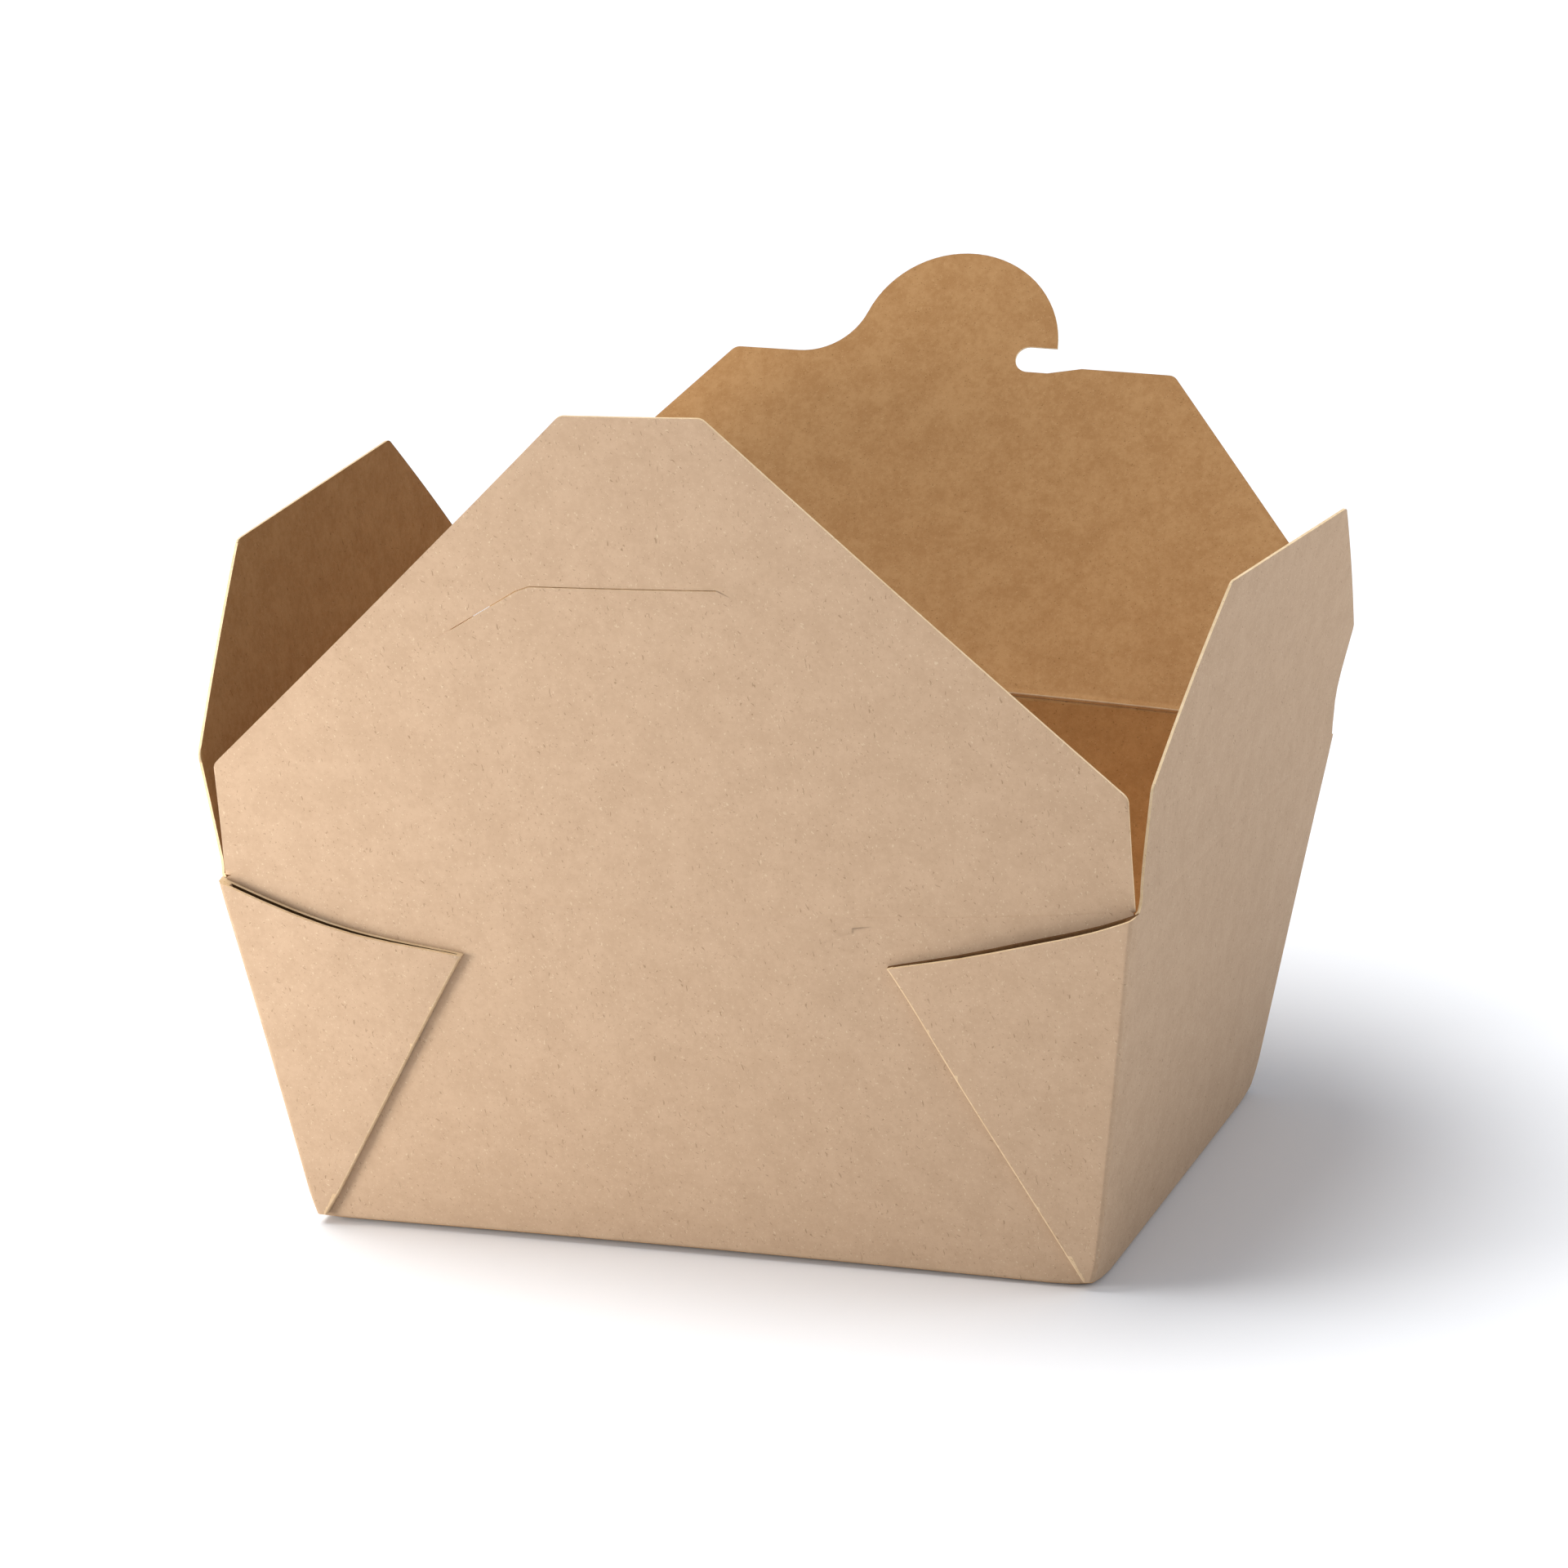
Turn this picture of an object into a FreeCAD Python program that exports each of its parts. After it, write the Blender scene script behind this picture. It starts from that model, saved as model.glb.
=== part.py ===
import FreeCAD, Part
import math
import os

# Takeaway box folded from one sheet of kraft board, all lengths in millimetres.
# The frame has +Z up, X across the front and Y toward the back. Its origin is the centre of the underside.
# The tray is one folded piece. The four flaps hang on the creases at its rim and stand open.

# The board
BOARD = 0.45
CUT_GAP = 0.25
PLY_GAP = 0.10

# Outside of the tray, measured at its underside and at the height of its rim
HEIGHT = 65.0
BASE_WIDTH = 134.0
BASE_DEPTH = 96.5
RIM_WIDTH = 153.5
RIM_DEPTH = 116.0
BEND_RADIUS = 1.2

# Creases are one board and a little air apart, so that the closed flaps stack without rubbing.
# Each wall is cut off half a board and the same air below its crease.
STACK_STEP = BOARD + CUT_GAP
SIDE_CREASE_Z = HEIGHT - STACK_STEP
FRONT_CREASE_Z = SIDE_CREASE_Z + STACK_STEP
BACK_CREASE_Z = FRONT_CREASE_Z + STACK_STEP
WALL_SHORT = BOARD / 2 + CUT_GAP

# Web corners, folded double and stuck to the outside of the front and back walls
WEB_REACH = 40.6
WEB_DROP = 12.0
WEB_SAG = 1.0
WEB_TOP_Z = FRONT_CREASE_Z - WALL_SHORT - PLY_GAP
WEB_FOOT = 2.0
WEB_BITE = 0.05
OPEN_FROM = 12.0
FOLD_RADIUS = 0.40
CORNER_RADIUS = 0.85

# How far each open flap leans outward from upright, in degrees
FRONT_LEAN = 7.5
BACK_LEAN = 37.7
LEFT_LEAN = 6.0
RIGHT_LEAN = 12.4

# Air at the ends of the flaps: wide flaps to the side walls, side flaps to the front and back walls
WIDE_CLEARANCE = 0.30
SIDE_CLEARANCE = 0.55

# Flap outlines: half widths across, and heights up from the crease
CORNER_ROUND = 2.0
FRONT_KINK = 19.3
FRONT_TOP_HALF = 11.6
FRONT_LENGTH = 82.0
BACK_KINK = 19.3
BACK_TOP_HALF = 40.0
BACK_LENGTH = 62.4
SIDE_KINK = 20.6
SIDE_TOP_HALF = 29.2
SIDE_LENGTH = 48.2

# Slit of the front flap, as points along its middle
SLIT_WIDTH = 0.6
SLIT_POINTS = ((-32.8, 45.4), (-21.4, 52.4), (-19.0, 53.3), (11.8, 53.5))

# Hook tab of the back flap: a round head, a sweep into the top edge and a notch under the hook
HEAD_RADIUS = 18.1
HEAD_X = 0.3
HEAD_RISE = 2.8
SWEEP_RADIUS = 12.0
NOTCH_RADIUS = 2.45
NOTCH_X = 13.65
NOTCH_RISE = 1.15
RAMP_START = 5.0
RAMP_END = -1.0

# How far the cutting bodies reach past the board they cut, and how close two places count as one
OVERSHOOT = 3.0
SAME_PLACE = 0.01


def wall_slope(base, rim):
    """Outward lean of a wall, in radians."""
    return math.atan2((rim - base) / 2, HEIGHT)


FRONT_SLOPE = wall_slope(BASE_DEPTH, RIM_DEPTH)
SIDE_SLOPE = wall_slope(BASE_WIDTH, RIM_WIDTH)


def half_at(z, base, slope):
    """Half of the outside width at height z."""
    return base / 2 + z * math.tan(slope)


def level_corners(z, inset):
    """Corners of the level section of the flared tray at height z, moved inward by inset."""
    half_x = half_at(z, BASE_WIDTH, SIDE_SLOPE) - inset / math.cos(SIDE_SLOPE)
    half_y = half_at(z, BASE_DEPTH, FRONT_SLOPE) - inset / math.cos(FRONT_SLOPE)
    signs = ((-1, -1), (1, -1), (1, 1), (-1, 1))
    return [FreeCAD.Vector(half_x * sx, half_y * sy, z) for sx, sy in signs]


def flared_block(low_z, high_z, inset):
    """Solid with the flare of the tray, made of six flat faces."""
    low = level_corners(low_z, inset)
    high = level_corners(high_z, inset)
    loops = [low[::-1], high]
    for i in range(4):
        j = (i + 1) % 4
        loops.append([low[i], low[j], high[j], high[i]])
    faces = [Part.Face(Part.makePolygon(loop + loop[:1])) for loop in loops]
    block = Part.Solid(Part.Shell(faces))
    if block.Volume < 0:
        block.reverse()
    return block


def round_bottom(block, low_z, radius):
    """Round the four folds between the bottom and the walls."""
    edges = []
    for edge in block.Edges:
        if all(abs(vertex.Point.z - low_z) < SAME_PLACE for vertex in edge.Vertexes):
            edges.append(edge)
    return block.makeFillet(radius, edges)


def box_between(low, high):
    """Upright box between two opposite corners."""
    size = [b - a for a, b in zip(low, high)]
    return Part.makeBox(size[0], size[1], size[2], FreeCAD.Vector(*low))


def tray_shell():
    """Bottom and four walls, each wall cut off just under the crease of its flap."""
    top_z = BACK_CREASE_Z - WALL_SHORT
    outside = round_bottom(flared_block(0.0, top_z, 0.0), 0.0, BEND_RADIUS)
    inside = flared_block(BOARD, top_z + OVERSHOOT, BOARD)
    inside = round_bottom(inside, BOARD, BEND_RADIUS - BOARD)
    shell = outside.cut(inside)
    past_x = RIM_WIDTH / 2 + OVERSHOOT
    past_y = RIM_DEPTH / 2 + OVERSHOOT
    past_z = top_z + OVERSHOOT
    side_x = RIM_WIDTH / 2 - BOARD - SIDE_CLEARANCE
    front_top = FRONT_CREASE_Z - WALL_SHORT
    side_top = SIDE_CREASE_Z - WALL_SHORT
    shell = shell.cut(box_between((-past_x, -past_y, front_top), (past_x, 0, past_z)))
    shell = shell.cut(box_between((side_x, -past_y, side_top), (past_x, past_y, past_z)))
    return shell.cut(box_between((-past_x, -past_y, side_top), (-side_x, past_y, past_z)))


def outer_edges(web, low, high):
    """Edges on the outer side of a flat web that run from one (x, z) corner to another."""
    wanted = [FreeCAD.Vector(x, 0, z) for x, z in (low, high)]
    found = []
    for edge in web.Edges:
        ends = sorted((vertex.Point for vertex in edge.Vertexes), key=lambda point: point.z)
        outside = all(point.y < -BOARD for point in ends)
        flat = [FreeCAD.Vector(point.x, 0, point.z) for point in ends]
        if outside and all(a.distanceToPoint(b) < SAME_PLACE for a, b in zip(flat, wanted)):
            found.append(edge)
    return found


def web_corners():
    """Corners of the web at the right end of the front wall, as flat (x, z) points up the wall."""
    rise = 1 / math.cos(FRONT_SLOPE)
    foot = (half_at(BEND_RADIUS, BASE_WIDTH, SIDE_SLOPE), BEND_RADIUS * rise)
    rim = (half_at(WEB_TOP_Z, BASE_WIDTH, SIDE_SLOPE), WEB_TOP_Z * rise)
    tip = (rim[0] - WEB_REACH, rim[1] - WEB_DROP)
    heel = (foot[0] - WEB_FOOT, foot[1])
    return foot, rim, tip, heel


def web_corner():
    """Doubled web, drawn flat: x across, z up the wall, -y outward. Its cut top edge sags in an arc."""
    foot, rim, tip, heel = web_corners()
    length = math.hypot(WEB_REACH, WEB_DROP)
    sag_x = WEB_SAG * WEB_DROP / length
    sag_z = -WEB_SAG * WEB_REACH / length
    middle = ((rim[0] + tip[0]) / 2 + sag_x, (rim[1] + tip[1]) / 2 + sag_z)
    edges = [line(foot, rim), arc(rim, middle, tip), line(tip, heel), line(heel, foot)]
    face = Part.Face(Part.Wire(edges))
    face.translate(FreeCAD.Vector(0, WEB_BITE, 0))
    web = face.extrude(FreeCAD.Vector(0, -2 * BOARD - PLY_GAP - WEB_BITE, 0))
    web = web.makeFillet(FOLD_RADIUS, outer_edges(web, heel, tip))
    return web.makeFillet(CORNER_RADIUS, outer_edges(web, foot, rim))


def ply_slot():
    """Air between the two plies of a web, open at the cut top edge and closed along the fold."""
    foot, rim, tip, _ = web_corners()
    along = FreeCAD.Vector(tip[0] - foot[0], 0, tip[1] - foot[1]).normalize()
    away = FreeCAD.Vector(along.z, 0, -along.x) * 2 * BOARD
    start = FreeCAD.Vector(foot[0], 0, foot[1]) + along * OPEN_FROM + away
    end = FreeCAD.Vector(tip[0], 0, tip[1]) + away + along * OVERSHOOT
    side = FreeCAD.Vector(rim[0] - 2 * BOARD, 0, rim[1] + OVERSHOOT)
    corners = [start, side, end]
    face = Part.Face(Part.makePolygon(corners + corners[:1]))
    slot = face.extrude(FreeCAD.Vector(0, -PLY_GAP, 0))
    slot.translate(FreeCAD.Vector(0, -BOARD, 0))
    return slot


def place_on_wall(shape, mirrored_x, mirrored_y):
    """Lean a flat web onto the front wall, and mirror it to the other ends of the tray."""
    shape = shape.copy()
    shape.rotate(FreeCAD.Vector(), FreeCAD.Vector(1, 0, 0), math.degrees(FRONT_SLOPE))
    shape.translate(FreeCAD.Vector(0, -BASE_DEPTH / 2, 0))
    if mirrored_x:
        shape = shape.mirror(FreeCAD.Vector(), FreeCAD.Vector(1, 0, 0))
    if mirrored_y:
        shape = shape.mirror(FreeCAD.Vector(), FreeCAD.Vector(0, 1, 0))
    return shape


def tray():
    """The folded tray: bottom, walls and four doubled web corners in one piece of board."""
    web = web_corner()
    slot = ply_slot()
    places = [(mx, my) for mx in (False, True) for my in (False, True)]
    body = tray_shell().multiFuse([place_on_wall(web, mx, my) for mx, my in places])
    for mx, my in places:
        body = body.cut(place_on_wall(slot, mx, my))
    return body.removeSplitter()


def board_from(edges):
    """Board of even thickness from an outline in the XZ plane, centred on y = 0."""
    face = Part.Face(Part.Wire(Part.__sortEdges__(edges)))
    board = face.extrude(FreeCAD.Vector(0, BOARD, 0))
    board.translate(FreeCAD.Vector(0, -BOARD / 2, 0))
    return board


def line(start, end):
    """Straight outline edge between two (x, z) points."""
    return Part.makeLine(FreeCAD.Vector(start[0], 0, start[1]), FreeCAD.Vector(end[0], 0, end[1]))


def arc(start, middle, end):
    """Outline arc through three (x, z) points."""
    points = [FreeCAD.Vector(x, 0, z) for x, z in (start, middle, end)]
    return Part.Arc(*points).toShape()


def chain(points):
    """Straight outline edges from point to point."""
    return [line(a, b) for a, b in zip(points, points[1:])]


def round_cut_corners(board, spots, radius):
    """Round the corners of the cut outline that stand at the given (x, z) spots."""
    wanted = [FreeCAD.Vector(x, 0, z) for x, z in spots]
    edges = []
    for edge in board.Edges:
        flat = [FreeCAD.Vector(vertex.Point.x, 0, vertex.Point.z) for vertex in edge.Vertexes]
        if any(all(point.distanceToPoint(spot) < SAME_PLACE for point in flat) for spot in wanted):
            edges.append(edge)
    return board.makeFillet(radius, edges)


def crease_roll(half):
    """Rounded lower edge of a flap, about the axis of its crease."""
    start = FreeCAD.Vector(-half, 0, 0)
    return Part.makeCylinder(BOARD / 2, 2 * half, start, FreeCAD.Vector(1, 0, 0))


def kinked_flap(half, kink, top_half, length):
    """Flap with upright sides up to the kink, then slanting sides to a shorter top edge."""
    right = [(half, 0), (half, kink), (top_half, length)]
    left = [(-x, z) for x, z in reversed(right)]
    board = board_from(chain(right + left + right[:1]))
    board = round_cut_corners(board, right[1:] + left[:2], CORNER_ROUND)
    return board.fuse(crease_roll(half)).removeSplitter()


def slit_cutter():
    """Narrow slot along the middle line of the slit."""
    path = Part.Wire(chain(SLIT_POINTS))
    rim = path.makeOffset2D(SLIT_WIDTH / 2, 0, False, False, True)
    cutter = Part.Face(rim).extrude(FreeCAD.Vector(0, 4 * BOARD, 0))
    cutter.translate(FreeCAD.Vector(0, -2 * BOARD, 0))
    return cutter


def hook_sweep():
    """Concave arc from the round head down into the top edge, as its start, middle and end."""
    head = (HEAD_X, BACK_LENGTH + HEAD_RISE)
    reach = HEAD_RADIUS + SWEEP_RADIUS
    centre_x = head[0] - math.sqrt(reach ** 2 - (SWEEP_RADIUS - HEAD_RISE) ** 2)
    centre_z = BACK_LENGTH + SWEEP_RADIUS
    ratio = HEAD_RADIUS / reach
    meet = (head[0] + (centre_x - head[0]) * ratio, head[1] + (centre_z - head[1]) * ratio)
    turn = math.atan2(meet[1] - centre_z, meet[0] - centre_x)
    half_turn = (turn - math.pi / 2) / 2
    middle = (centre_x + SWEEP_RADIUS * math.cos(half_turn), centre_z + SWEEP_RADIUS * math.sin(half_turn))
    return meet, middle, (centre_x, BACK_LENGTH)


def hook_outline(half):
    """Outline of the back flap, anticlockwise from the left end of its top edge."""
    head_z = BACK_LENGTH + HEAD_RISE
    notch_z = BACK_LENGTH + NOTCH_RISE
    low_z = notch_z - NOTCH_RADIUS
    lip_z = notch_z + NOTCH_RADIUS
    lip_x = HEAD_X + math.sqrt(HEAD_RADIUS ** 2 - (lip_z - head_z) ** 2)
    left_end = (-BACK_TOP_HALF, BACK_LENGTH)
    right_end = (BACK_TOP_HALF, BACK_LENGTH)
    ramp = [(lip_x + RAMP_START, BACK_LENGTH), (lip_x + RAMP_END, low_z)]
    meet, sweep_middle, sweep_end = hook_sweep()
    edges = chain([left_end, (-half, BACK_KINK), (-half, 0), (half, 0), (half, BACK_KINK), right_end])
    edges += chain([right_end] + ramp + [(NOTCH_X, low_z)])
    edges.append(arc((NOTCH_X, low_z), (NOTCH_X - NOTCH_RADIUS, notch_z), (NOTCH_X, lip_z)))
    edges.append(line((NOTCH_X, lip_z), (lip_x, lip_z)))
    edges.append(arc((lip_x, lip_z), (HEAD_X, head_z + HEAD_RADIUS), meet))
    edges.append(arc(meet, sweep_middle, sweep_end))
    edges.append(line(sweep_end, left_end))
    return edges


def hooked_flap(half):
    """Back flap with the hook tab that tucks into the slit of the front flap."""
    board = board_from(hook_outline(half))
    spots = [(half, BACK_KINK), (BACK_TOP_HALF, BACK_LENGTH)]
    spots += [(-x, z) for x, z in spots]
    board = round_cut_corners(board, spots, CORNER_ROUND)
    return board.fuse(crease_roll(half)).removeSplitter()


def stand_up(flap, lean, crease_z, distance, turn):
    """Lean a flat flap toward -Y, move its crease out to the rim and turn it to its side of the tray."""
    flap = flap.copy()
    flap.rotate(FreeCAD.Vector(), FreeCAD.Vector(1, 0, 0), lean)
    flap.translate(FreeCAD.Vector(0, -distance, crease_z))
    flap.rotate(FreeCAD.Vector(), FreeCAD.Vector(0, 0, 1), turn)
    return flap


def main():
    os.makedirs("parts", exist_ok=True)
    wide_half = RIM_WIDTH / 2 - BOARD - WIDE_CLEARANCE
    deep_half = RIM_DEPTH / 2 - BOARD - SIDE_CLEARANCE
    front_out = half_at(FRONT_CREASE_Z, BASE_DEPTH, FRONT_SLOPE) - BOARD / 2
    back_out = half_at(BACK_CREASE_Z, BASE_DEPTH, FRONT_SLOPE) - BOARD / 2
    side_out = half_at(SIDE_CREASE_Z, BASE_WIDTH, SIDE_SLOPE) - BOARD / 2
    front = kinked_flap(wide_half, FRONT_KINK, FRONT_TOP_HALF, FRONT_LENGTH).cut(slit_cutter())
    # The back flap is drawn as it is seen from the front, so it is mirrored before it is turned round
    back = hooked_flap(wide_half).mirror(FreeCAD.Vector(), FreeCAD.Vector(1, 0, 0))
    side = kinked_flap(deep_half, SIDE_KINK, SIDE_TOP_HALF, SIDE_LENGTH)
    pieces = {
        "tray": tray(),
        "front_flap": stand_up(front, FRONT_LEAN, FRONT_CREASE_Z, front_out, 0),
        "back_flap": stand_up(back, BACK_LEAN, BACK_CREASE_Z, back_out, 180),
        "left_flap": stand_up(side, LEFT_LEAN, SIDE_CREASE_Z, side_out, -90),
        "right_flap": stand_up(side, RIGHT_LEAN, SIDE_CREASE_Z, side_out, 90),
    }
    for name, shape in pieces.items():
        solids = shape.Solids
        assert len(solids) == 1 and solids[0].isValid(), name
        solids[0].exportStep("parts/" + name + ".step")
        print(name, "volume in cubic mm:", round(solids[0].Volume, 1))
    print("front crease", front_out, FRONT_CREASE_Z)
    print("back crease", back_out, BACK_CREASE_Z)
    print("side crease", side_out, SIDE_CREASE_Z)


main()
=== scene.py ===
# %% [markdown]
# # A folded takeaway box, dressed for its picture
# The box is one sheet of kraft board: a tray with flared walls, and four flaps that hang on creases.
# The lesson loads the measured solids, cuts each one into small faces so that it can bend like card,
# warps it the way a real box sits after folding, paints it with kraft board, and lights it on a white table.

# %% Load the measured box
import bpy
import bmesh
import math
from mathutils import Matrix, Vector


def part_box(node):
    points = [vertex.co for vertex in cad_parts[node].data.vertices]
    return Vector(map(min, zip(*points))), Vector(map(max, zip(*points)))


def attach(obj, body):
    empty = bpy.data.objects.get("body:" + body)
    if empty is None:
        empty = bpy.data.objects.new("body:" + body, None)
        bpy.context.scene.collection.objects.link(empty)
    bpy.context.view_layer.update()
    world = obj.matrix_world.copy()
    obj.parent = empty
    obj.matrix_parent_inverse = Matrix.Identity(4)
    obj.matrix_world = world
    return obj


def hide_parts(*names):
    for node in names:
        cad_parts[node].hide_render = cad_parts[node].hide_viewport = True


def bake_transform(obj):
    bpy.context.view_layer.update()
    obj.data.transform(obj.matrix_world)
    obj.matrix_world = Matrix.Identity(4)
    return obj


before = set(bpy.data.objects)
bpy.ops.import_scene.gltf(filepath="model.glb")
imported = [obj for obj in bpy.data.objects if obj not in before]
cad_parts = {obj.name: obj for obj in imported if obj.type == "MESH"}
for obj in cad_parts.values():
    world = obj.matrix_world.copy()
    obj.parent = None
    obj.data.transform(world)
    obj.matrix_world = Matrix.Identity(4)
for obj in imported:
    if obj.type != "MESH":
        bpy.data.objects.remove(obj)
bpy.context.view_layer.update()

# %% [markdown]
# ## Sizes that the warps need
# These repeat the folded sizes of the solids, in metres: half widths of the base and the rim, the wall height,
# the board, and where each crease runs. A flap is described by its crease, the way it leans when open, how many
# degrees its two ends lean inward of that, how far its free edge curls outward, how fully it settles back to its
# own plane above the racked crease, and how much of the board above the crease bends. The back flap turns
# furthest and over the most uneven crease, so it needs the longest bend.

# %% Sizes of the box
MM = 0.001
BASE_HALF = (67.0 * MM, 48.25 * MM)
RIM_HALF = (76.75 * MM, 58.0 * MM)
WALL_HEIGHT = 65.0 * MM
BOARD = 0.45 * MM
WALL_SHORT = BOARD / 2 + 0.25 * MM
SLOPE = math.atan2(RIM_HALF[0] - BASE_HALF[0], WALL_HEIGHT)

FLAPS = {
    "front_flap": {
        "side": "front", "crease_z": 65.0 * MM, "lean": 7.5, "twist": (0.0, 0.0),
        "curl": -0.5 * MM, "settle": 1.0, "bend": 3.5 * MM,
    },
    "back_flap": {
        "side": "back", "crease_z": 65.7 * MM, "lean": 37.7, "twist": (0.0, 0.0),
        "curl": 0.6 * MM, "settle": 1.0, "bend": 7.0 * MM,
    },
    "left_flap": {
        "side": "left", "crease_z": 64.3 * MM, "lean": 6.0, "twist": (-3.5, 5.0),
        "curl": 0.5 * MM, "settle": 0.0, "bend": 3.5 * MM,
    },
    "right_flap": {
        "side": "right", "crease_z": 64.3 * MM, "lean": 12.4, "twist": (5.5, -3.0),
        "curl": 0.5 * MM, "settle": 0.4, "bend": 3.5 * MM,
    },
}
OUTWARD = {
    "front": Vector((0, -1, 0)),
    "back": Vector((0, 1, 0)),
    "left": Vector((-1, 0, 0)),
    "right": Vector((1, 0, 0)),
}
UP = Vector((0, 0, 1))


def clamp(value, low, high):
    """Value held between two limits."""
    return max(low, min(high, value))


def bump(distance, reach):
    """One at distance zero, fading smoothly to nothing beyond the reach."""
    return math.exp(-(distance / reach) ** 2)


print("flaps:", ", ".join(FLAPS))

# %% [markdown]
# ## Small faces let a flat solid bend
# The solids have a few large faces. Slicing them with parallel planes every few millimetres keeps every outline
# exactly as it was, and gives the later warp enough points to bend smoothly. Near the ends of an axis, where
# corners are soft, the slices stand closer together.

# %% Slice a board
TRAY_STEP = 4 * MM
FLAP_STEP = 2.5 * MM
END_SLICES = (0.9 * MM, 1.9 * MM, 3.0 * MM, 4.2 * MM)
SAME_POINT = 1e-6
SAME_PLANE = 1e-7
SHARP_EDGE = math.radians(28)


def cuts_between(low, high, step):
    """Evenly spaced places between two limits, with closer ones near both ends."""
    count = max(1, int((high - low) / step))
    places = [low + (i + 0.5) * (high - low) / count for i in range(count)]
    for inset in END_SLICES:
        places += [low + inset, high - inset]
    return places


def sliced_copy(node, name, step):
    """Copy of a solid as an object of its own, with its faces cut along all three axes."""
    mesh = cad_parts[node].data.copy()
    mesh.materials.clear()
    bm = bmesh.new()
    bm.from_mesh(mesh)
    bmesh.ops.remove_doubles(bm, verts=bm.verts, dist=SAME_POINT)
    low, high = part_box(node)
    for axis in range(3):
        normal = Vector([1.0 if i == axis else 0.0 for i in range(3)])
        for place in cuts_between(low[axis], high[axis], step):
            geom = bm.verts[:] + bm.edges[:] + bm.faces[:]
            bmesh.ops.bisect_plane(bm, geom=geom, dist=SAME_PLANE, plane_co=normal * place, plane_no=normal)
    bm.to_mesh(mesh)
    bm.free()
    piece = bpy.data.objects.new(name, mesh)
    bpy.context.scene.collection.objects.link(piece)
    print(name, "has", len(mesh.polygons), "faces")
    return piece


def finish_board(piece):
    """Give the piece its board materials, and smooth shading everywhere except across real edges."""
    for material in SHEET:
        piece.data.materials.append(material)
    piece.data.shade_smooth()
    piece.data.set_sharp_from_angle(angle=SHARP_EDGE)


# %% [markdown]
# ## How a folded box sits
# Card never folds quite square. This box is racked: two opposite rim corners stand a little higher than the
# other two, and the whole right side leans out, most of all at the rear. The front crease sags in the middle and
# the back one arches. The walls belly out, and the bottom rests on its middle, so that its edges hover just above
# the table. Formulas are enough for this, because the sheet bends by a few millimetres only.

# %% Warp of the tray
CORNER_LIFT = {(-1, -1): -2.1 * MM, (1, -1): 2.6 * MM, (1, 1): -2.2 * MM, (-1, 1): 2.3 * MM}
REAR_RIGHT_OUT = 2.8 * MM
FRONT_RIGHT_OUT = 1.1 * MM
FRONT_SAG = -3.4 * MM
BACK_ARCH = 1.3 * MM
BELLY = 1.1 * MM
EDGE_HOVER = 0.7 * MM
LESS_HOVER_RIGHT = 0.35
FRONT_EDGE_BOW = 0.5 * MM
BOTTOM_ZONE = 6 * MM
SOFT_CORNERS = {(-1, -1): 0.2, (1, -1): 0.8, (1, 1): 0.3, (-1, 1): 0.4}
CORNER_IN, CORNER_UP, CORNER_REACH = 0.9 * MM, 0.5 * MM, 3.6 * MM


def rim_shift(sx, sy):
    """How far the rim is out of place. sx and sy run from -1 to 1 along and across the box."""
    shift = Vector((0, 0, 0))
    for (cx, cy), lift in CORNER_LIFT.items():
        shift.z += lift * (1 + cx * sx) * (1 + cy * sy) / 4
    shift.x += (1 + sx) / 4 * (REAR_RIGHT_OUT * (1 + sy) + FRONT_RIGHT_OUT * (1 - sy))
    return shift


def crease_bow(sx, sy):
    """Sag of the front crease and arch of the back one, at the middle of each."""
    bow = FRONT_SAG if sy < 0 else BACK_ARCH
    return bow * (1 - sx * sx) * clamp((abs(sy) - 0.8) / 0.2, 0, 1)


def half_widths(z):
    """Half widths of the tray at height z, to the outside of its walls."""
    share = clamp(z / WALL_HEIGHT, 0.0, 1.05)
    return [BASE_HALF[i] + (RIM_HALF[i] - BASE_HALF[i]) * share for i in range(2)]


def tray_warp(p):
    """Where a point of the perfect tray ends up in the real one."""
    half_x, half_y = half_widths(p.z)
    sx, sy = clamp(p.x / half_x, -1, 1), clamp(p.y / half_y, -1, 1)
    rise = clamp(p.z / WALL_HEIGHT, 0.0, 1.0)
    q = p.copy()
    belly = BELLY * math.sin(math.pi * rise)
    q.x += belly * sx * (1 - sy * sy)
    q.y += belly * sy * (1 - sx * sx)
    low = max(0.0, 1 - p.z / BOTTOM_ZONE)
    q.z += EDGE_HOVER * (1 - LESS_HOVER_RIGHT * (1 + sx)) * max(abs(sx), abs(sy)) ** 6 * low
    q.z += FRONT_EDGE_BOW * (1 - sx * sx) * abs(sy) ** 6 * low
    for (cx, cy), amount in SOFT_CORNERS.items():
        corner = Vector((cx * BASE_HALF[0], cy * BASE_HALF[1], 0))
        near = amount * bump((p - corner).length, CORNER_REACH)
        q += near * Vector((-CORNER_IN * cx, -CORNER_IN * cy, CORNER_UP))
    q += rim_shift(sx, sy) * rise
    q.z += crease_bow(sx, sy) * rise ** 8
    return q
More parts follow.
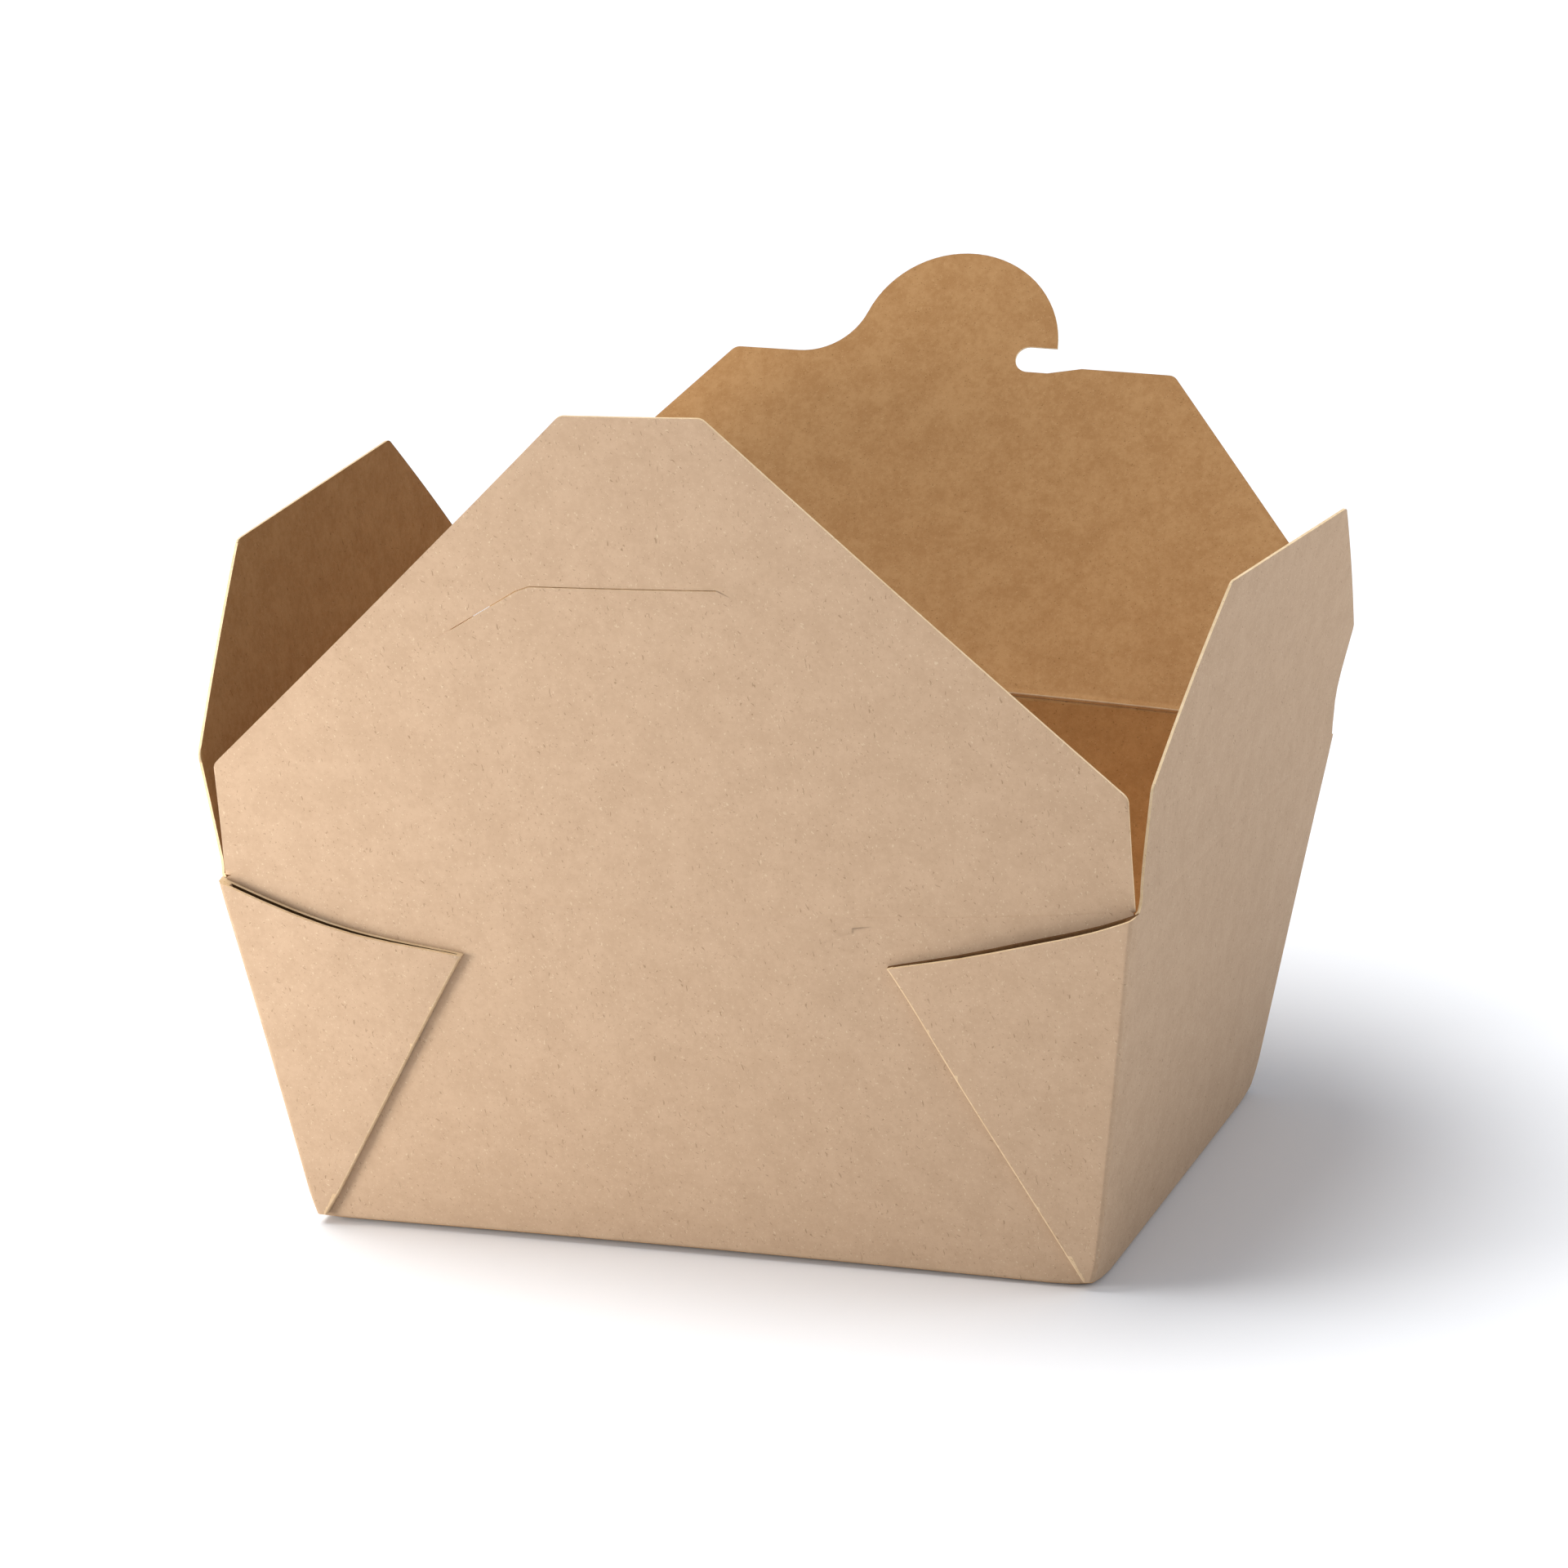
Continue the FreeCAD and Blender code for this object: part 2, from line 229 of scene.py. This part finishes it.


# %% [markdown]
# ## The doubled web corners
# At each end of the front and back walls the board is folded double and stuck down. Its fold is round and tucks
# under, so it casts a fine dark line, which painted shade on the tucked faces makes darker, and its outer ply
# springs away from the wall toward the rim. The front webs are where the picture shows this best, and their tips
# were pushed a little out of place by the folding.

# %% Warp of the webs
WEB_FROM = 30 * MM
WEB_TIP = Vector((36.0 * MM, 0, 52.3 * MM))
WEB_HEEL = Vector((65.2 * MM, 0, 1.2 * MM))
WEB_RIM = Vector((76.6 * MM, 0, 64.4 * MM))
FOLD_LINE = (WEB_TIP - WEB_HEEL).normalized()
ACROSS_FOLD = Vector((FOLD_LINE.z, 0, -FOLD_LINE.x))
UNDERCUT = 0.7 * MM
THICKENING = 0.3
TIP_PUSH = {-1: Vector((0.2 * MM, 0, 0.5 * MM)), 1: Vector((-0.6 * MM, 0, 1.7 * MM))}
TIP_REACH = 14 * MM
TOP_PUSH = {-1: -0.7 * MM, 1: 1.7 * MM}
TOP_REACH = 15 * MM
PLY_OPENING = {-1: 0.9 * MM, 1: 1.9 * MM}
OPENING_REACH = 20 * MM


def web_depth(p):
    """How far a point stands out of the front or back wall."""
    return (abs(p.y) - half_widths(p.z)[1]) * math.cos(SLOPE)


def fold_place(p):
    """Distance of a point from the fold line of the nearest web, seen square to the wall."""
    return (Vector((abs(p.x), 0, p.z)) - WEB_HEEL).dot(ACROSS_FOLD)


def web_warp(p):
    """Extra warp of the points near a web, before the tray is warped as a whole."""
    side_x = 1 if p.x > 0 else -1
    flat = Vector((abs(p.x), 0, p.z))
    depth = web_depth(p)
    q = p.copy()
    if depth < -0.05 * MM or abs(p.x) < WEB_FROM:
        return q
    out = Vector((0, math.copysign(1, p.y), 0))
    from_fold = fold_place(p)
    if depth < 0.1 * MM and abs(from_fold) < 0.25 * MM and p.z < 52 * MM:
        q += Vector((side_x * ACROSS_FOLD.x, 0, ACROSS_FOLD.z)) * UNDERCUT
    if depth > 0.1 * MM:
        q += out * THICKENING * depth
    if depth > 0.5 * MM:
        top = clamp((flat - WEB_HEEL).length / (WEB_TIP - WEB_HEEL).length, 0, 1)
        toward_rim = clamp(from_fold / OPENING_REACH, 0, 1)
        opening = PLY_OPENING[side_x] if p.y < 0 else PLY_OPENING[-1]
        q += out * opening * toward_rim * top ** 3
    if p.y < 0:
        q += TIP_PUSH[side_x] * bump((flat - WEB_TIP).length, TIP_REACH)
        q.z += TOP_PUSH[side_x] * bump((flat - (WEB_TIP + WEB_RIM) / 2).length, TOP_REACH)
    return q


# %% [markdown]
# ## How an open flap stands
# Each open flap follows the racked crease at its foot. The side flaps also twist along their length, because one
# end springs back more than the other, and every flap curls a little toward its free edge. The score of the
# crease leaves a raised bead inside and a faint groove outside. A flap that settles comes back to its own plane
# within a few millimetres of the crease, so that it lies flat when it is closed.

# %% Warp of a flap
CREASE_ZONE = 0.3 * MM
BEAD = 2.2
GROOVE = 0.7
BACK_FOOT = 1.8
FOOT_FLARE = 0.8 * MM
SIDE_FLAP_HALF = 57 * MM
SETTLING = 6 * MM
TWIST_FROM = 4 * MM
BOW_KEPT, BOW_REACH = 0.45, 9 * MM


def flap_axes(flap):
    """Crease middle, direction along the crease, up the board and out of the box, for one flap."""
    outward = OUTWARD[flap["side"]]
    axis = 0 if outward.x else 1
    share = flap["crease_z"] / WALL_HEIGHT
    reach = BASE_HALF[axis] + (RIM_HALF[axis] - BASE_HALF[axis]) * share - BOARD / 2
    foot = outward * reach + UP * flap["crease_z"]
    lean = math.radians(flap["lean"])
    up = outward * math.sin(lean) + UP * math.cos(lean)
    out = outward * math.cos(lean) - UP * math.sin(lean)
    along = Vector((1, 0, 0)) if axis == 1 else Vector((0, 1, 0))
    return foot, along, up, out


def foot_shift(flap, along, out, u, v):
    """Shift that the racked rim gives to a flap point, u along the crease and v above it."""
    half = RIM_HALF[0] if along.x else RIM_HALF[1]
    share = clamp(u / half, -1, 1)
    outward = OUTWARD[flap["side"]]
    sx, sy = (share, outward.y) if along.x else (outward.x, share)
    shift = rim_shift(sx, sy)
    if along.x:
        shift.z += crease_bow(sx, sy) * (BOW_KEPT + (1 - BOW_KEPT) * bump(max(v, 0.0), BOW_REACH))
    settled = flap["settle"] * (1 - bump(max(v, 0.0), SETTLING))
    shift -= out * shift.dot(out) * settled
    return shift, share


def flap_warp(flap, length):
    """Function that moves a point of the flat flap to where the real flap has it."""
    foot, along, up, out = flap_axes(flap)
    first, last = (math.radians(angle) for angle in flap["twist"])

    def warp(p):
        d = p - foot
        u, v, n = d.dot(along), d.dot(up), d.dot(out)
        if v < CREASE_ZONE:
            n *= BEAD if n < 0 else GROOVE
            v *= BACK_FOOT if flap["side"] == "back" else 1.0
        if not along.x:
            corner = clamp(abs(u) / SIDE_FLAP_HALF, 0, 1) ** 20 * bump(max(v, 0.0), 1.8 * MM)
            u += math.copysign(FOOT_FLARE, u) * corner
        shift, share = foot_shift(flap, along, out, u, v)
        turn = first + (last - first) * (share + 1) / 2
        turn *= clamp(v / TWIST_FROM, 0.0, 1.0)
        v_turned = v * math.cos(turn) + n * math.sin(turn)
        n_turned = n * math.cos(turn) - v * math.sin(turn)
        n_turned += flap["curl"] * clamp(v / length, 0.0, 1.0) ** 2
        return foot + along * u + up * v_turned + out * n_turned + shift

    return warp


# %% [markdown]
# ## The slit springs shut
# The solids leave the slit as wide as the tab is thick. In real board it is a knife cut that closes to a
# hairline, and the tongue below it stands a little proud, so its cut edge catches the light.

# %% Close the slit
SLIT = [Vector((x * MM, z * MM)) for x, z in ((-32.8, 45.4), (-21.4, 52.4), (-19.0, 53.3), (11.8, 53.5))]
SLIT_EDGE = 0.34 * MM
SLIT_LEFT_OPEN = 0.2
TONGUE_REACH = 12 * MM
TONGUE_LIFT = 0.16 * MM


def nearest_on_slit(spot):
    """Nearest point of the slit's middle line, and the line's direction there."""
    best = None
    for start, end in zip(SLIT, SLIT[1:]):
        step = end - start
        share = clamp((spot - start).dot(step) / step.length_squared, 0, 1)
        place = start + step * share
        if best is None or (spot - place).length < (spot - best[0]).length:
            best = (place, step.normalized())
    return best


def close_slit(piece, flap):
    """Draw both sides of the slit together and lift the tongue below it."""
    foot, along, up, out = flap_axes(flap)
    for vertex in piece.data.vertices:
        d = vertex.co - foot
        spot = Vector((d.dot(along), d.dot(up)))
        place, step = nearest_on_slit(spot)
        aside = spot - place
        below = step.x * aside.y - step.y * aside.x < 0
        if aside.length < SLIT_EDGE:
            moved = place + aside * SLIT_LEFT_OPEN - spot
            vertex.co += along * moved.x + up * moved.y
        if below and aside.length < TONGUE_REACH:
            vertex.co += out * TONGUE_LIFT * bump(aside.length, 5 * MM)


# %% [markdown]
# ## Node materials in a few lines
# A material is a small graph of nodes. Typing the graph out node by node is long and hides its idea, so one class
# adds a node with its settings and its links in a single call, and names the steps that a board needs.

# %% Small helpers for node materials
def from_hex(code):
    """Linear colour from an sRGB hex code."""
    values = [int(code[i:i + 2], 16) / 255 for i in (0, 2, 4)]
    return [v / 12.92 if v <= 0.04045 else ((v + 0.055) / 1.055) ** 2.4 for v in values] + [1.0]


class Board:
    """A node material under construction."""

    def __init__(self, name):
        self.material = bpy.data.materials.new(name)
        self.material.use_nodes = True
        self.tree = self.material.node_tree
        self.shader = self.tree.nodes["Principled BSDF"]

    def add(self, kind, settings=None, inputs=None):
        """Add a node, set its properties, and fill its inputs with numbers, colours or other outputs."""
        node = self.tree.nodes.new(kind)
        for key, value in (settings or {}).items():
            setattr(node, key, value)
        for key, value in (inputs or {}).items():
            self.fill(node, key, value)
        return node

    def fill(self, node, key, value):
        """Fill one input of a node, by name or by number."""
        socket = node.inputs[key]
        if isinstance(value, bpy.types.NodeSocket):
            self.tree.links.new(value, socket)
        else:
            socket.default_value = value

    def mask(self, value, low, high):
        """Rises from nothing to full between two levels of a noise."""
        inputs = {"Value": value, "From Min": low, "From Max": high}
        return self.add("ShaderNodeMapRange", {"clamp": True}, inputs).outputs[0]

    def mixed(self, share, first, second):
        """Colour that goes from the first to the second as the share rises."""
        return self.add("ShaderNodeMix", {"data_type": "RGBA"}, {0: share, 6: first, 7: second}).outputs[2]

    def math(self, operation, *values):
        """Arithmetic on numbers and outputs."""
        return self.add("ShaderNodeMath", {"operation": operation}, dict(enumerate(values))).outputs[0]

    def noise(self, place, scale, detail, roughness):
        """Noise with a given number of lumps per metre."""
        inputs = {"Vector": place, "Scale": scale, "Detail": detail, "Roughness": roughness}
        return self.add("ShaderNodeTexNoise", {}, inputs).outputs[0]


# %% [markdown]
# ## Kraft board, its fibres and pulp clouds
# Kraft board is unbleached wood pulp, laid down wet, pressed and dried, so its colour is cloudy over a few
# millimetres and sprinkled with short fibres. A noise stretched along one direction makes fibres that lie that
# way. Three directions, bent by a second noise, give short crooked fibres like those of real board. Only the
# highest peaks show, so that they stay sparse.

# %% Kraft board
FIBRE_WIDTH = 0.28 * MM
FIBRE_SWAY = 0.6 * MM
FIBRE_TURNS = [(0.1, 0.5, 0.6), (1.3, 0.4, 2.0), (0.6, 1.2, 1.2)]
FELT_DEPTH = 0.00005


def fibres(board, place, turn, offset, length, sparse):
    """Mask of short fibres that lie roughly along one direction. The length is in millimetres."""
    sway = board.add("ShaderNodeTexNoise", {}, {"Vector": place, "Scale": 900.0, "Detail": 1.0}).outputs[1]
    bend = {0: sway, 1: (FIBRE_SWAY, FIBRE_SWAY, FIBRE_SWAY), 2: place}
    bent = board.add("ShaderNodeVectorMath", {"operation": "MULTIPLY_ADD"}, bend).outputs[0]
    inputs = {"Vector": bent, "Rotation": turn, "Location": (offset, offset * 0.7, offset * 0.3)}
    inputs["Scale"] = (length * MM, FIBRE_WIDTH, FIBRE_WIDTH)
    stretched = board.add("ShaderNodeMapping", {"vector_type": "TEXTURE"}, inputs).outputs[0]
    return board.mask(board.noise(stretched, 1.0, 0.0, 0.5), sparse, sparse + 0.05)


def pulp_board(name, colours, roughness, sheen, relief):
    """Board with cloudy pulp, fine grain, dark and pale fibres and a faint felt texture."""
    base, cloud, dark_fibre, pale_fibre = (from_hex(code) for code in colours)
    board = Board(name)
    place = board.add("ShaderNodeTexCoord").outputs["Object"]
    clouds = board.noise(place, 190.0, 3.0, 0.6)
    grain = board.noise(place, 900.0, 3.0, 0.7)
    cloudy = board.math("MULTIPLY_ADD", grain, 0.5, board.math("MULTIPLY", clouds, 0.5))
    colour = board.mixed(board.mask(cloudy, 0.40, 0.60), cloud, base)
    for index, turn in enumerate(FIBRE_TURNS):
        dark = board.math("MULTIPLY", fibres(board, place, turn, 0.31 * index, 2.0, 0.785), 0.5)
        colour = board.mixed(dark, colour, dark_fibre)
        pale = board.math("MULTIPLY", fibres(board, place, turn, 2.0 + 0.23 * index, 0.7, 0.775), 0.45)
        colour = board.mixed(pale, colour, pale_fibre)
    board.fill(board.shader, "Base Color", colour)
    felt = board.noise(place, 2200.0, 3.0, 0.65)
    waves = board.noise(place, 60.0, 2.0, 0.5)
    height = board.math("MULTIPLY_ADD", waves, 3.0, felt)
    bumps = board.add("ShaderNodeBump", {}, {"Height": height, "Strength": relief, "Distance": FELT_DEPTH})
    board.fill(board.shader, "Normal", bumps.outputs[0])
    board.fill(board.shader, "Roughness", roughness)
    board.fill(board.shader, "IOR", 1.45)
    board.fill(board.shader, "Specular IOR Level", sheen)
    return board.material


# %% [markdown]
# ## The six looks of one sheet
# One sheet shows different faces. Outside it is bare board, inside it carries a thin food-safe coating, and at
# a cut its core shows. Three more help the picture: the narrow slots between plies are painted shade, because
# gaps so fine come out too light in a render, the inside of the tray is painted lighter than the inside of the
# flaps, to make up for light that a real studio throws into the box, and the folds are painted lighter, partly
# for fibres that the scoring rule pulls apart and partly as a painted highlight on their round.

# %% Materials of the sheet
# Kraft outside: bare pulp dried against felt, which leaves it matt, pale brown and faintly rough.
outside_board = pulp_board("kraft outside", ("B69A7E", "AF9377", "765B3F", "CDB89B"), 0.82, 0.30, 0.32)
# Kraft inside: the same pulp under a thin coating that soaks in, which makes it browner and a little smoother.
inside_board = pulp_board("kraft inside, coated", ("B0875A", "A47A4E", "75542F", "BF996B"), 0.62, 0.04, 0.4)
# The same coated side within the tray, lighter to make up for the missing studio light.
deep_board = pulp_board("kraft inside, in the box", ("C69B67", "BA8F5C", "7F5D36", "D0A878"), 0.62, 0.04, 0.4)
# Cut edge: the pale core of the board, torn open by the die, so that it is rough and catches the light.
cut_board = pulp_board("die cut edge", ("E3C9A2", "D6B98F", "A98559", "EAD7B7"), 0.85, 0.30, 0.6)
# Gap between plies: painted shade, the same board darkened for the shade in slots too narrow to render dark.
gap_shade_board = pulp_board("painted shade between plies", ("6B4C2E", "5F4228", "3F2A17", "7A5A3A"), 0.9, 0.10, 0.4)
# Stretched fold: fibres pulled apart by the scoring rule whiten it a little, and the rest of the lightness is a
# painted highlight on the fold.
fold_and_highlight_board = pulp_board("stretched fold with painted highlight", ("CDB28F", "C1A481", "8A6E4D", "DCC8A8"), 0.85, 0.30, 0.6)
SHEET = [outside_board, inside_board, cut_board, fold_and_highlight_board, gap_shade_board, deep_board]
OUTSIDE, INSIDE, CUT, FOLD_AND_HIGHLIGHT, GAP_SHADE, DEEP = range(6)
print("materials:", [material.name for material in SHEET])

# %% [markdown]
# ## Dress the tray
# The face's own direction and place tell which side of the sheet it belongs to: the rim and the tops of the webs
# are cut edges, the folds of the webs are painted lighter, for stretched fibres and as a painted highlight, the
# slots beside them and the crevice above the right front web get painted shade, faces within the walls are the
# inside, painted lighter for studio light that the box lacks, and all others are outside. The wall tops are
# raised to the crease, over the running gap of the solids, so that wall and flap look like one creased sheet.
# Their inner edge rises less, to leave room for a closed flap.

# %% Build the tray
WEB_TOPS_ABOVE = 50 * MM
RIM_ABOVE = 63 * MM
SLOT_DEPTHS = (0.2 * MM, 0.8 * MM)
FOLD_HALF = 0.6 * MM
INNER_RISE = 0.15


def tray_side(centre, normal):
    """Which look of the sheet a tray face gets, painted shade and painted highlights included."""
    half_x, half_y = half_widths(centre.z)
    deep = 0.6 * BOARD
    depth = web_depth(centre)
    in_slot = SLOT_DEPTHS[0] < depth < SLOT_DEPTHS[1] and abs(normal.y) > 0.8
    # Slots between the plies of a web get painted shade.
    if in_slot and fold_place(centre) > FOLD_HALF:
        return GAP_SHADE
    if centre.z > WEB_TOPS_ABOVE and normal.z > 0.6 and abs(centre.y) > half_y - deep:
        # Beside the right front web the inner ply's top gets painted shade, for the crevice above the web's top
        # edge.
        behind_ply = 0 < depth < 0.5 * MM and centre.z < WEB_RIM.z and abs(centre.x) > WEB_TIP.x
        return GAP_SHADE if behind_ply and centre.x > 0 and centre.y < 0 else CUT
    if centre.z > RIM_ABOVE and normal.z > 0.6:
        return CUT
    # A web's round fold is painted lighter, for stretched fibres and as a painted highlight; the tucked faces
    # under it get painted shade.
    if abs(centre.x) > WEB_FROM and centre.z < WEB_TIP.z and abs(fold_place(centre)) < FOLD_HALF:
        if depth > 0.14 * MM:
            return FOLD_AND_HIGHLIGHT
        if depth > 0.01 * MM:
            return GAP_SHADE
    if centre.z > 0.3 * BOARD and abs(centre.x) < half_x - deep and abs(centre.y) < half_y - deep:
        return DEEP
    return OUTSIDE


def wall_crease(p):
    """Height of the crease above the wall that a point belongs to."""
    half_x = half_widths(p.z)[0]
    if half_x - abs(p.x) < 1.2 * MM:
        return FLAPS["left_flap"]["crease_z"]
    return FLAPS["front_flap"]["crease_z"] if p.y < 0 else FLAPS["back_flap"]["crease_z"]


def build_tray():
    """Slice, paint and warp the tray."""
    tray = sliced_copy("tray", "folded_tray", TRAY_STEP)
    for face in tray.data.polygons:
        face.material_index = tray_side(face.center.copy(), face.normal.copy())
    for vertex in tray.data.vertices:
        p = vertex.co.copy()
        half_x, half_y = half_widths(p.z)
        inward = min(half_x - abs(p.x), half_y - abs(p.y))
        if abs(p.z - (wall_crease(p) - WALL_SHORT)) < 0.03 * MM and web_depth(p) < 0.02 * MM:
            p.z += WALL_SHORT * (1.0 if inward < 0.5 * BOARD else INNER_RISE)
        vertex.co = tray_warp(web_warp(p))
    finish_board(tray)
    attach(tray, "tray")
    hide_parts("tray")
    return tray


tray = build_tray()

# %% [markdown]
# ## Dress the flaps
# A flap bends only just above its crease, where the score has crushed the board. The blend keeps the foot of
# the flap on the racked rim, so that wall and flap look like one sheet.

# %% Build the flaps
FACING = 0.4


def flap_side(normal, out):
    """Which side of the sheet a flap face belongs to."""
    facing = normal.dot(out)
    if facing > FACING:
        return OUTSIDE
    return INSIDE if facing < -FACING else CUT


def hang_flap(name, flap):
    """Slice, paint and warp one flap."""
    foot, along, up, out = flap_axes(flap)
    piece = sliced_copy(name, name + "_board", FLAP_STEP)
    length = max((vertex.co - foot).dot(up) for vertex in piece.data.vertices)
    warp = flap_warp(flap, length)
    for face in piece.data.polygons:
        face.material_index = flap_side(face.normal.copy(), out)
        at_crease = (face.center - foot).dot(up) < CREASE_ZONE
        # The bead inside the back crease is painted lighter, for stretched fibres and as a painted highlight on
        # the bead.
        if name == "back_flap" and at_crease and face.material_index == INSIDE:
            face.material_index = FOLD_AND_HIGHLIGHT
    if name == "front_flap":
        close_slit(piece, flap)
    for vertex in piece.data.vertices:
        vertex.co = warp(vertex.co.copy())
    finish_board(piece)
    outward = OUTWARD[flap["side"]]
    ends = [rim_shift(s, outward.y) if along.x else rim_shift(outward.x, s) for s in (-1, 1)]
    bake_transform(piece)
    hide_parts(name)
    return piece


flaps = {name: hang_flap(name, flap) for name, flap in FLAPS.items()}

# %% [markdown]
# ## A white table
# The picture is a catalogue shot on a white sweep. A plane of matt near white does the same, far larger than
# the view, so that it has no edge in the picture.

# %% Table
TABLE_HALF = 6.0
table_mesh = bpy.data.meshes.new("table")
corners = [(TABLE_HALF * cx, TABLE_HALF * cy, 0) for cx, cy in ((-1, -1), (1, -1), (1, 1), (-1, 1))]
table_mesh.from_pydata(corners, [], [(0, 1, 2, 3)])
table = bpy.data.objects.new("table", table_mesh)
bpy.context.scene.collection.objects.link(table)
# White table: smooth coated card under soft light, matt enough to throw no reflection of the box.
paint = Board("white table")
paint.fill(paint.shader, "Base Color", from_hex("E9E9E9"))
paint.fill(paint.shader, "Roughness", 0.9)
paint.fill(paint.shader, "Specular IOR Level", 0.1)
table_mesh.materials.append(paint.material)
print("table", 2 * TABLE_HALF, "m wide")

# %% [markdown]
# ## Light
# A high, very wide and soft key from the left lights the table until it goes white and leaves a short soft
# shadow at the right. A soft box close to the front left makes the front wall fade toward the right, which one
# far light could not do. A weak cool fill shows the right wall, and a little sky light opens the shadows.


# %% Lights
def hang_light(name, kind, place, aim, energy, colour):
    """Light at a place, turned to a spot."""
    data = bpy.data.lights.new(name, kind)
    data.energy = energy
    data.color = from_hex(colour)[:3]
    lamp = bpy.data.objects.new(name, data)
    lamp.location = place
    lamp.rotation_euler = (Vector(aim) - Vector(place)).to_track_quat("-Z", "Y").to_euler()
    bpy.context.scene.collection.objects.link(lamp)
    return data


key = hang_light("high key", "SUN", (-0.70, 0.02, 1.9), (0.0, 0.0, 0.05), 3.0, "FFFFFF")
key.angle = math.radians(44)
near = hang_light("near soft box", "AREA", (-0.31, -0.24, 0.06), (-0.04, -0.06, 0.04), 1.4, "FFFDFB")
near.size = 0.14
fill = hang_light("fill from the right", "AREA", (0.52, 0.12, 0.19), (0.06, 0.0, 0.06), 0.6, "F6FAFF")
fill.size = 0.25
room = bpy.data.worlds.new("bright room")
room.use_nodes = True
sky = room.node_tree.nodes["Background"]
sky.inputs["Color"].default_value = from_hex("EAF2FF")
sky.inputs["Strength"].default_value = 0.5
bpy.context.scene.world = room
bpy.context.scene.view_settings.view_transform = "Standard"
print("lights:", [light.name for light in (key, near, fill)])

# %% [markdown]
# ## Camera
# The camera's place, tilt and long lens were found by matching the corners of the box in the picture.
# Azimuth 0 looks straight at the front wall, and a positive azimuth steps to the right.

# %% Camera
AZIMUTH, ELEVATION, ROLL = math.radians(18.97), math.radians(16.95), math.radians(-1.90)
AIM = Vector((0.08898, -0.25785, 0.14884))
DISTANCE = 0.84828
SENSOR = 36.0
FOCAL_SHARE = 8344.36 / 1920
flat_back = Vector((math.sin(AZIMUTH), -math.cos(AZIMUTH), 0))
back = flat_back * math.cos(ELEVATION) + UP * math.sin(ELEVATION)
level = (-back).cross(UP).normalized()
upright = level.cross(-back)
right = level * math.cos(ROLL) + upright * math.sin(ROLL)
top = upright * math.cos(ROLL) - level * math.sin(ROLL)
stand = AIM + back * DISTANCE
turned = Matrix((right, top, back)).transposed().to_4x4()
lens = bpy.data.cameras.new("long lens")
lens.sensor_width = SENSOR
lens.lens = FOCAL_SHARE * SENSOR
lens.clip_start = 0.05
lens.clip_end = 50.0
camera = bpy.data.objects.new("camera", lens)
camera.matrix_world = Matrix.Translation(stand) @ turned
bpy.context.scene.collection.objects.link(camera)
bpy.context.scene.camera = camera
print("camera at", tuple(round(c, 3) for c in stand), "lens", round(lens.lens, 1))
